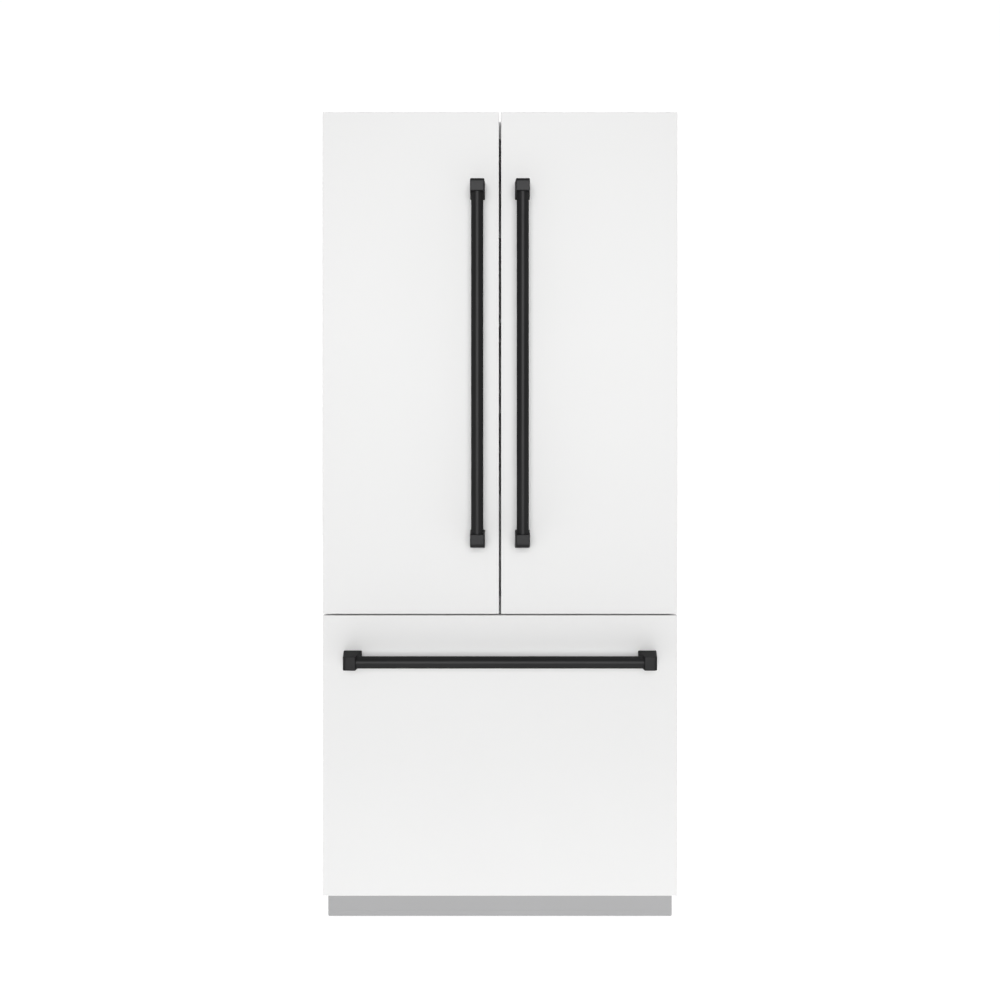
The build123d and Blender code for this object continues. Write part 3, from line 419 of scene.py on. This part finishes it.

# ---- Folding mullion -----------------------------------------------------------------
# A hinged upright strip on the left door that turns to bridge the gap between the doors. A moulded
# channel filled with foam, with a painted steel face, on two pinned brackets; drawn as one grey plastic
# strip.
mullion_plastic = coating("mullion_plastic", (0.36, 0.365, 0.37), 0.40, drift=0.02, peel=300.0,
                          relief=0.00005)
MULLION_ROUND = 0.48
MULLION_EDGE = 0.0012
low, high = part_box("flip_mullion")
bm = bmesh.new()
block(bm, low, high)
pivot_edges = [e for e in bm.edges if abs(e.verts[0].co.z - e.verts[1].co.z) > 0.1
               and e.verts[0].co.y < low.y + 1e-5]
pivot_radius = (high.x - low.x) * MULLION_ROUND
bmesh.ops.bevel(bm, geom=pivot_edges, offset=pivot_radius, offset_type="OFFSET", segments=8,
                profile=0.5, affect="EDGES", material=-1)
rest = [e for e in bm.edges if e.calc_face_angle(0.0) > 1.0]
bmesh.ops.bevel(bm, geom=rest, offset=MULLION_EDGE, offset_type="OFFSET", segments=3, profile=0.5,
                affect="EDGES", material=-1, clamp_overlap=True)
piece_from(bm, "mullion_strip", mullion_plastic, "mullion", ("flip_mullion",))

# ---- Cabinet shell -------------------------------------------------------------------
# Pre-painted steel wrapper folded from one sheet, with the steel face frame that the
# seals close on; bare galvanised sheet at the back and underneath.
CASE_GREY = (0.50, 0.505, 0.51)
case_paint = coating("case_paint", CASE_GREY, 0.40, drift=0.015, peel=500.0, relief=0.00004)
face_paint = coating("face_paint", (0.62, 0.625, 0.63), 0.34, drift=0.012, peel=500.0, relief=0.00003)


def galvanised(name):
    """Zinc sheet: flat crystals of slightly different tone and gloss."""
    material = coating(name, (0.58, 0.59, 0.60), 0.42, drift=0.04, peel=900.0, relief=0.00003, metal=0.85)
    nodes, links = material.node_tree.nodes, material.node_tree.links
    shader = nodes["Principled BSDF"]
    place = next(n for n in nodes if n.type == "TEX_COORD")
    crystal = nodes.new("ShaderNodeTexVoronoi")
    crystal.inputs["Scale"].default_value = 90.0
    links.new(place.outputs["Object"], crystal.inputs["Vector"])
    tone = nodes.new("ShaderNodeMapRange")
    tone.inputs["To Min"].default_value = 0.30
    tone.inputs["To Max"].default_value = 0.55
    links.new(crystal.outputs["Color"], tone.inputs["Value"])
    links.new(tone.outputs["Result"], shader.inputs["Roughness"])
    return material


zinc_sheet = galvanised("zinc_sheet")


def refinish(material, *names):
    """Gives CAD nodes whose shape is right their real finish."""
    for name in names:
        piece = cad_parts[name]
        piece.data.materials.clear()
        piece.data.materials.append(material)


refinish(case_paint, "outer_case")
refinish(face_paint, "face_frame")
refinish(zinc_sheet, "rear_panel", "base_pan", "rear_access_cover", "anti_tip_brackets")

foam_block = coating("foam_block", (0.82, 0.74, 0.50), 0.85, drift=0.05, peel=700.0, relief=0.0003, speck=0.2)
refinish(foam_block, "cabinet_foam")

# ---- Hinges, slides and other plain steel --------------------------------------------
# Pressed and zinc-plated parts with fine drawn lines from the rolling mill.
plated_steel = coating("plated_steel", (0.60, 0.60, 0.61), 0.30, drift=0.03, peel=350.0, relief=0.00003,
                       metal=0.9, stretch=(1, 0.04, 1))
refinish(plated_steel, "hinge_brackets", "mullion_hinges", "case_screws", "freezer_rails",
         "slide_middles", "slide_inners", "shelf_tracks")

# ---- Inside of the cabinet -----------------------------------------------------------
# One white drawn liner for the fresh food, one for the freezer, with rounded inner corners.
LINER_SHEET = 0.002
LINER_CORNER = 0.030
LINER_BACK_CORNER = 0.028
LINER_RIM = 0.0004
liner_plastic = coating("liner_plastic", (0.82, 0.83, 0.84), 0.26, drift=0.01, peel=240.0, relief=0.00005)
low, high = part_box("fridge_liner")
bm = bmesh.new()
tub(bm, low, high, LINER_CORNER, LINER_BACK_CORNER, open_axis=1, open_sign=-1)
bmesh.ops.recalc_face_normals(bm, faces=bm.faces)
shell = piece_from(bm, "fridge_lining", liner_plastic, "cabinet", ("fridge_liner",),
                   even=False)
give_wall(shell, LINER_SHEET, rim=LINER_RIM)
refinish(liner_plastic, "freezer_liner", "air_duct", "evaporator_cover")

# ---- Shelves -------------------------------------------------------------------------
# Tempered glass set in moulded rims that hook in the tracks on the back wall, and the
# same glass over the two crispers.
rim_plastic = coating("rim_plastic", (0.74, 0.75, 0.76), 0.28, drift=0.012, peel=280.0, relief=0.00004)
refinish(rim_plastic, "shelf_frames", "crisper_cover")


def glass(name):
    """Clear tempered sheet with the green cast of its edges."""
    material = coating(name, (0.80, 0.93, 0.89), 0.03, drift=0.01, peel=8.0, relief=0.00002, dust=0.015)
    shader = material.node_tree.nodes["Principled BSDF"]
    shader.inputs["Transmission Weight"].default_value = 1.0
    shader.inputs["IOR"].default_value = 1.5
    return material


shelf_glass = glass("shelf_glass")
refinish(shelf_glass, "glass_shelves")

# ---- Crispers ------------------------------------------------------------------------
# Two deep clear drawers under the lowest glass, with a pale moulded grip along the front.
crisper_plastic = clear_plastic("crisper_plastic", (0.84, 0.90, 0.93), 0.16, 0.80)
CRISPER_WALL = 0.0025
CRISPER_CORNER = 0.016
CRISPER_FOOT = 0.012
CRISPER_TAPER = 0.97
GRIP_INSET = 0.006
GRIP_DEPTH = 0.012
GRIP_HEIGHT = 0.026
GRIP_EDGE = 0.004
for hand in ("left", "right"):
    node, body = "crisper_" + hand, hand + "_crisper"
    low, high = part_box(node)
    bm = bmesh.new()
    tub(bm, low, high, CRISPER_CORNER, CRISPER_FOOT, taper=CRISPER_TAPER)
    bmesh.ops.recalc_face_normals(bm, faces=bm.faces)
    drawer = piece_from(bm, node + "_tub", crisper_plastic, body, (node,), even=False)
    give_wall(drawer, CRISPER_WALL)
    bm = bmesh.new()
    block(bm, (low.x + GRIP_INSET, low.y, high.z - GRIP_HEIGHT),
          (high.x - GRIP_INSET, low.y + GRIP_DEPTH, high.z), edge=GRIP_EDGE, segments=4)
    piece_from(bm, node + "_grip", rim_plastic, body)

# ---- Freezer baskets -----------------------------------------------------------------
# Two moulded white tubs; the upper one rolls on ledges, the lower one hangs on the slides.
basket_plastic = coating("basket_plastic", (0.78, 0.80, 0.82), 0.30, drift=0.015, peel=260.0,
                         relief=0.00006)
BASKET_WALL = 0.003
BASKET_CORNER = 0.018
BASKET_FOOT = 0.014
BASKET_TAPER = 0.98
LOWER_INSET = 0.016
UPPER_INSET = 0.018
for node, body, inset in (("lower_basket", "freezer_drawer", LOWER_INSET),
                          ("upper_basket", "basket", UPPER_INSET)):
    low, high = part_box(node)
    bm = bmesh.new()
    tub(bm, (low.x + inset, low.y, low.z), (high.x - inset, high.y, high.z), BASKET_CORNER, BASKET_FOOT,
        taper=BASKET_TAPER)
    bmesh.ops.recalc_face_normals(bm, faces=bm.faces)
    basket = piece_from(bm, node + "_tub", basket_plastic, body, (node,), even=False)
    give_wall(basket, BASKET_WALL)

# ---- Cold and machine parts ----------------------------------------------------------
# Finned coils of aluminium on tube, moulded fans, a black welded compressor on rubber
# feet, copper lines, a plastic box for the control board and a drip tray under the coil.
fin_metal = coating("fin_metal", (0.74, 0.75, 0.76), 0.34, drift=0.03, peel=800.0, relief=0.00003,
                    metal=0.95, stretch=(1, 1, 0.05))
dark_plastic = coating("dark_plastic", (0.035, 0.036, 0.038), 0.50, drift=0.08, peel=1100.0, relief=0.00008)
shell_paint = coating("shell_paint", (0.018, 0.018, 0.020), 0.22, drift=0.12, peel=260.0, relief=0.00006)
copper = coating("copper", (0.72, 0.36, 0.22), 0.30, drift=0.10, peel=300.0, relief=0.00003, metal=1.0)
foot_rubber = coating("foot_rubber", (0.04, 0.04, 0.042), 0.70, drift=0.10, peel=900.0, relief=0.0001)
refinish(fin_metal, "evaporator", "condenser_coil")
refinish(dark_plastic, "condenser_fan", "evaporator_fan", "condenser_fan_frame", "control_box",
         "drip_tray", "rear_roller_left", "rear_roller_right", "front_foot_left", "front_foot_right")
refinish(shell_paint, "compressor")
refinish(copper, "refrigerant_lines")
refinish(foot_rubber, "compressor_grommets", "cord_gland")

# ---- Ceiling light -------------------------------------------------------------------
# Frosted lens over a row of small lamps, let into the roof of the fresh-food space; off
# while the doors are shut.
lens = coating("lens", (0.90, 0.90, 0.86), 0.45, drift=0.01, peel=600.0, relief=0.00005)
refinish(lens, "ceiling_light")

# ---- Floor, light and camera ---------------------------------------------------------
# A white studio: a round floor that glows by its own light, brightest round the object and
# dimmer well in front, as painted light standing in for a lit floor and its bounce; surroundings
# bright behind and dim in front, one broad soft light from the front, and a view square on to the doors.
FLOOR_RADIUS = 12.0
FLOOR_GLOW = 0.96
FLOOR_FRONT = 0.28
FADE_START = -0.9
FADE_END = -2.5
SKY_BEHIND = 1.02
SKY_FRONT = 0.15
SKY_FADE = -0.4
LIGHT_FROM = (0.0, 1.0, -0.12)
LIGHT_STRENGTH = 2.08
LIGHT_SPREAD = 32

bm = bmesh.new()
bmesh.ops.create_circle(bm, cap_ends=True, segments=64, radius=FLOOR_RADIUS)
floor_mesh = bpy.data.meshes.new("studio_floor")
bm.to_mesh(floor_mesh)
bm.free()
floor = bpy.data.objects.new("studio_floor", floor_mesh)
bpy.context.scene.collection.objects.link(floor)
glowing_floor_finish = coating("studio_floor", (0.12, 0.12, 0.12), 0.9, drift=0.01, peel=40.0)
floor_shader = glowing_floor_finish.node_tree.nodes["Principled BSDF"]
floor_shader.inputs["Emission Color"].default_value = (1, 1, 1, 1)
floor_nodes, floor_links = glowing_floor_finish.node_tree.nodes, glowing_floor_finish.node_tree.links
floor_place = next(n for n in floor_nodes if n.type == "TEX_COORD")
floor_axes = floor_nodes.new("ShaderNodeSeparateXYZ")
floor_links.new(floor_place.outputs["Object"], floor_axes.inputs["Vector"])
fading = floor_nodes.new("ShaderNodeMapRange")
fading.inputs["From Min"].default_value = FADE_END
fading.inputs["From Max"].default_value = FADE_START
fading.inputs["To Min"].default_value = FLOOR_FRONT
fading.inputs["To Max"].default_value = FLOOR_GLOW
floor_links.new(floor_axes.outputs["Y"], fading.inputs["Value"])
# Painted light: the floor's own glow, strong round the object and fading in front, stands in for a lit floor
# and the light it throws back.
floor_links.new(fading.outputs["Result"], floor_shader.inputs["Emission Strength"])
floor.data.materials.append(glowing_floor_finish)

world = bpy.data.worlds.new("studio")
bpy.context.scene.world = world
world.use_nodes = True
sky_nodes, sky_links = world.node_tree.nodes, world.node_tree.links
around = sky_nodes.new("ShaderNodeTexCoord")
axes = sky_nodes.new("ShaderNodeSeparateXYZ")
sky_links.new(around.outputs["Generated"], axes.inputs["Vector"])
dimming = sky_nodes.new("ShaderNodeMapRange")
dimming.inputs["From Min"].default_value = SKY_FADE
dimming.inputs["From Max"].default_value = 0.0
dimming.inputs["To Min"].default_value = SKY_FRONT
dimming.inputs["To Max"].default_value = SKY_BEHIND
sky_links.new(axes.outputs["Y"], dimming.inputs["Value"])
sky_links.new(dimming.outputs["Result"], sky_nodes["Background"].inputs["Strength"])
sky_nodes["Background"].inputs["Color"].default_value = (1.0, 1.0, 1.0, 1.0)


def soft_light(name, direction, strength, spread):
    """A broad, even light from one side, as from a large screen far off."""
    lamp = bpy.data.lights.new(name, "SUN")
    lamp.energy = strength
    lamp.angle = math.radians(spread)
    holder = bpy.data.objects.new(name, lamp)
    bpy.context.scene.collection.objects.link(holder)
    holder.rotation_euler = Vector(direction).to_track_quat("-Z", "Y").to_euler()


soft_light("front_light", LIGHT_FROM, LIGHT_STRENGTH, LIGHT_SPREAD)

PANEL_DISTANCE = 2.75
SENSOR = 36.0
FOCAL = 1.074 * SENSOR
SHIFT = -0.055
CAMERA_HEIGHT = 1.2426
camera_data = bpy.data.cameras.new("front_view")
camera_data.sensor_width = SENSOR
camera_data.lens = FOCAL
camera_data.shift_y = SHIFT
camera = bpy.data.objects.new("front_view", camera_data)
bpy.context.scene.collection.objects.link(camera)
panel_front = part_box("left_door_panel")[0].y
camera.location = (0.0, panel_front - PANEL_DISTANCE, CAMERA_HEIGHT)
camera.rotation_euler = (math.pi / 2, 0.0, 0.0)
bpy.context.scene.camera = camera
bpy.context.scene.view_settings.view_transform = "Standard"
